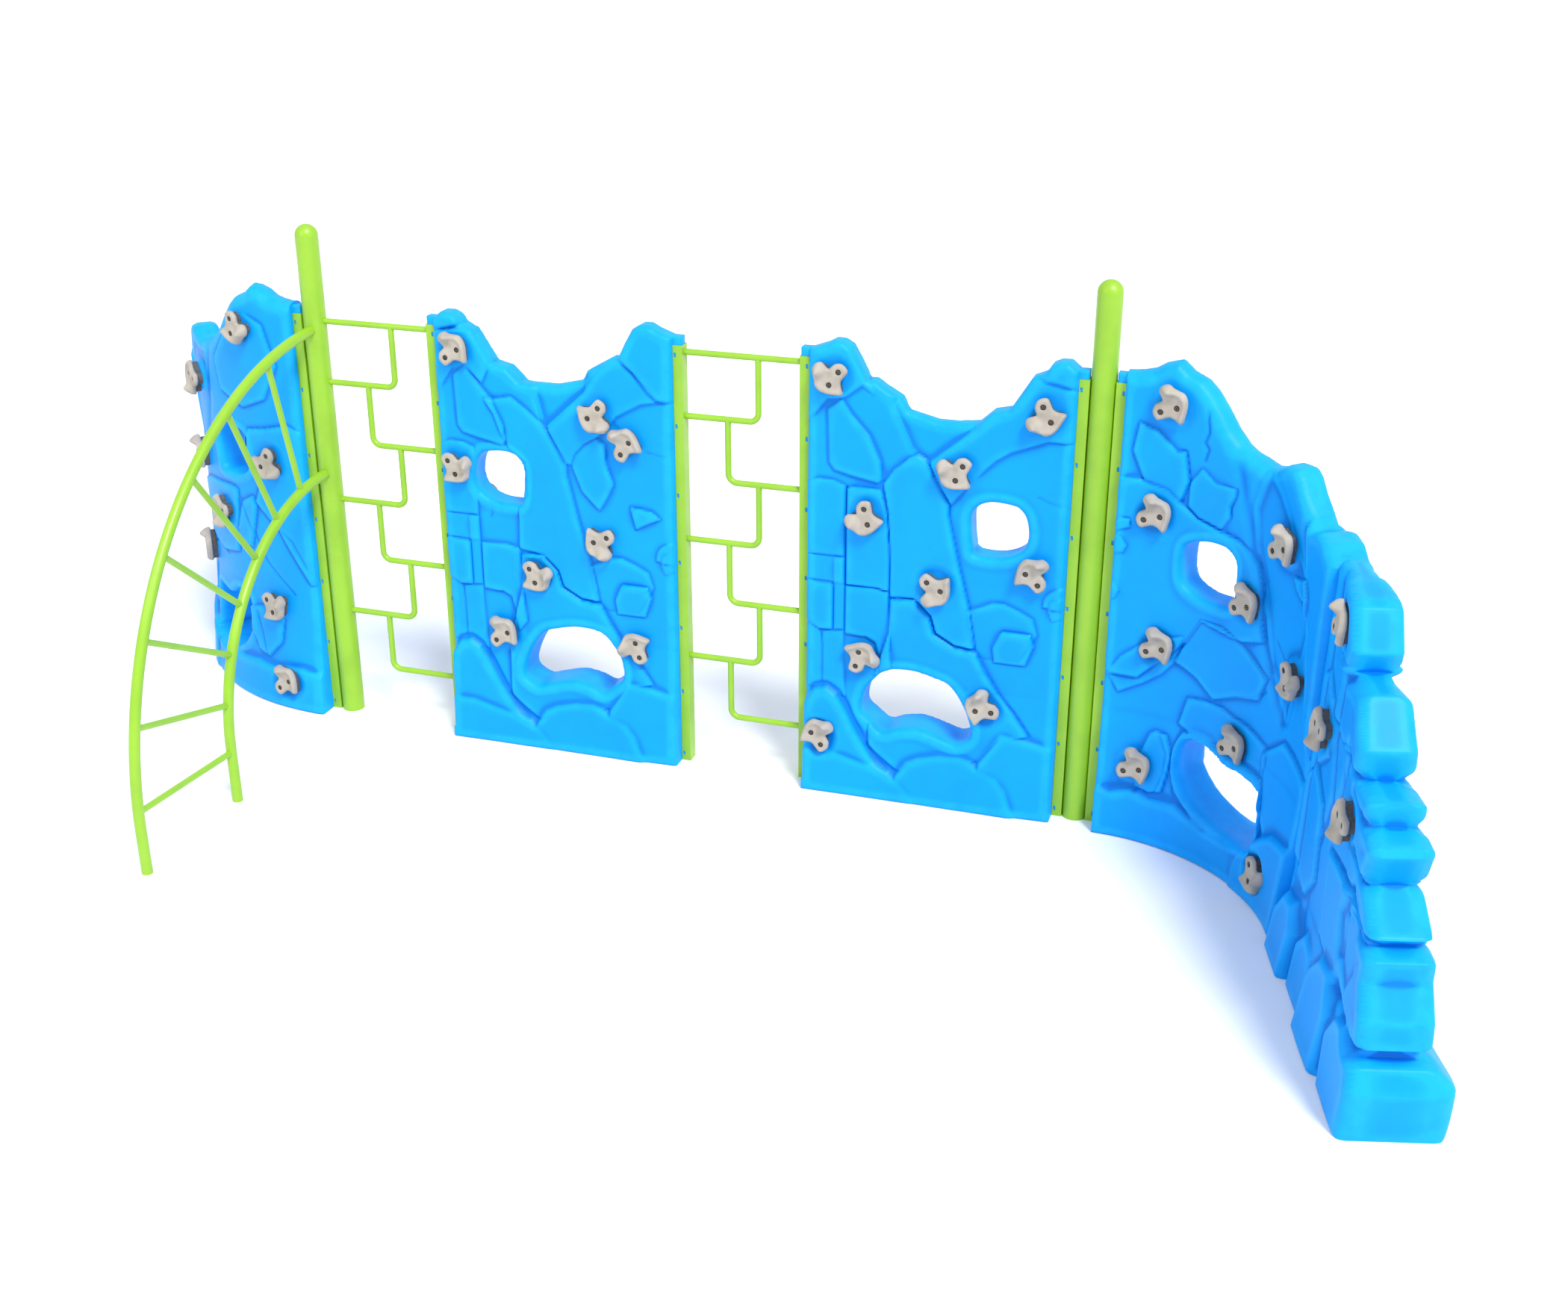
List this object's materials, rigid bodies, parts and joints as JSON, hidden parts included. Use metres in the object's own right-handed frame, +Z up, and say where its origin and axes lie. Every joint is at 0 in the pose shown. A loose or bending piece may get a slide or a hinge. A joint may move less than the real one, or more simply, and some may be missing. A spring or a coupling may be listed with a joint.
{
  "type": "playground climbing wall",
  "caption": "Free-standing rock climbing wall with two posts, sculpted panels with holds, curved wings, offset-rung ladders and an arched ladder.",
  "frame": {"origin": "on the ground, midway between the axes of the two posts", "axes": "+Z up; +X along the straight run towards the right post; -Y towards the side that the arched ladder stands on"},
  "size_m": [8.2102, 4.758, 2.895],
  "materials": {
    "frame": "powder coat, fine grain, semi-gloss",
    "wall_plastic": "rotationally moulded polyethylene, soft sheen",
    "hold_resin": "sanded resin, slightly worn",
    "spacer_rubber": "moulded, matt",
    "fixing_steel": "dark plated steel",
    "insert_brass": "plain turned"
  },
  "bodies": {
    "root": {"left_post": "frame", "left_post_cap": "frame", "right_post": "frame", "right_post_cap": "frame", "left_wing_channel": "frame", "left_panel_left_channel": "frame", "left_panel_right_channel": "frame", "right_panel_left_channel": "frame", "right_panel_right_channel": "frame", "right_wing_channel": "frame", "outer_ladder_top_rung": "frame", "outer_ladder_left_rungs": "frame", "outer_ladder_right_rungs": "frame", "middle_ladder_top_rung": "frame", "middle_ladder_left_rungs": "frame", "middle_ladder_right_rungs": "frame", "arch_outer_rail": "frame", "arch_inner_rail": "frame", "arch_rungs": "frame", "left_panel": "wall_plastic", "right_panel": "wall_plastic", "left_curved_wall": "wall_plastic", "right_curved_wall": "wall_plastic", "left_end_wall": "wall_plastic", "right_end_wall": "wall_plastic", "left_panel_holds": "hold_resin", "left_panel_hold_spacers": "spacer_rubber", "left_panel_hold_bolts": "fixing_steel", "left_panel_hold_inserts": "insert_brass", "right_panel_holds": "hold_resin", "right_panel_hold_spacers": "spacer_rubber", "right_panel_hold_bolts": "fixing_steel", "right_panel_hold_inserts": "insert_brass", "left_wall_holds": "hold_resin", "left_wall_hold_spacers": "spacer_rubber", "left_wall_hold_bolts": "fixing_steel", "left_wall_hold_inserts": "insert_brass", "right_wall_holds": "hold_resin", "right_wall_hold_spacers": "spacer_rubber", "right_wall_hold_bolts": "fixing_steel", "right_wall_hold_inserts": "insert_brass", "left_end_holds": "hold_resin", "left_end_hold_spacers": "spacer_rubber", "left_end_hold_bolts": "fixing_steel", "left_end_hold_inserts": "insert_brass", "right_end_holds": "hold_resin", "right_end_hold_spacers": "spacer_rubber", "right_end_hold_bolts": "fixing_steel", "right_end_hold_inserts": "insert_brass", "left_wing_channel_screws": "fixing_steel", "right_wing_channel_screws": "fixing_steel", "left_panel_channel_screws": "fixing_steel", "right_panel_channel_screws": "fixing_steel", "left_joint_bolts": "fixing_steel", "right_joint_bolts": "fixing_steel", "left_joint_nuts": "fixing_steel", "right_joint_nuts": "fixing_steel"}
  },
  "joints": []
}
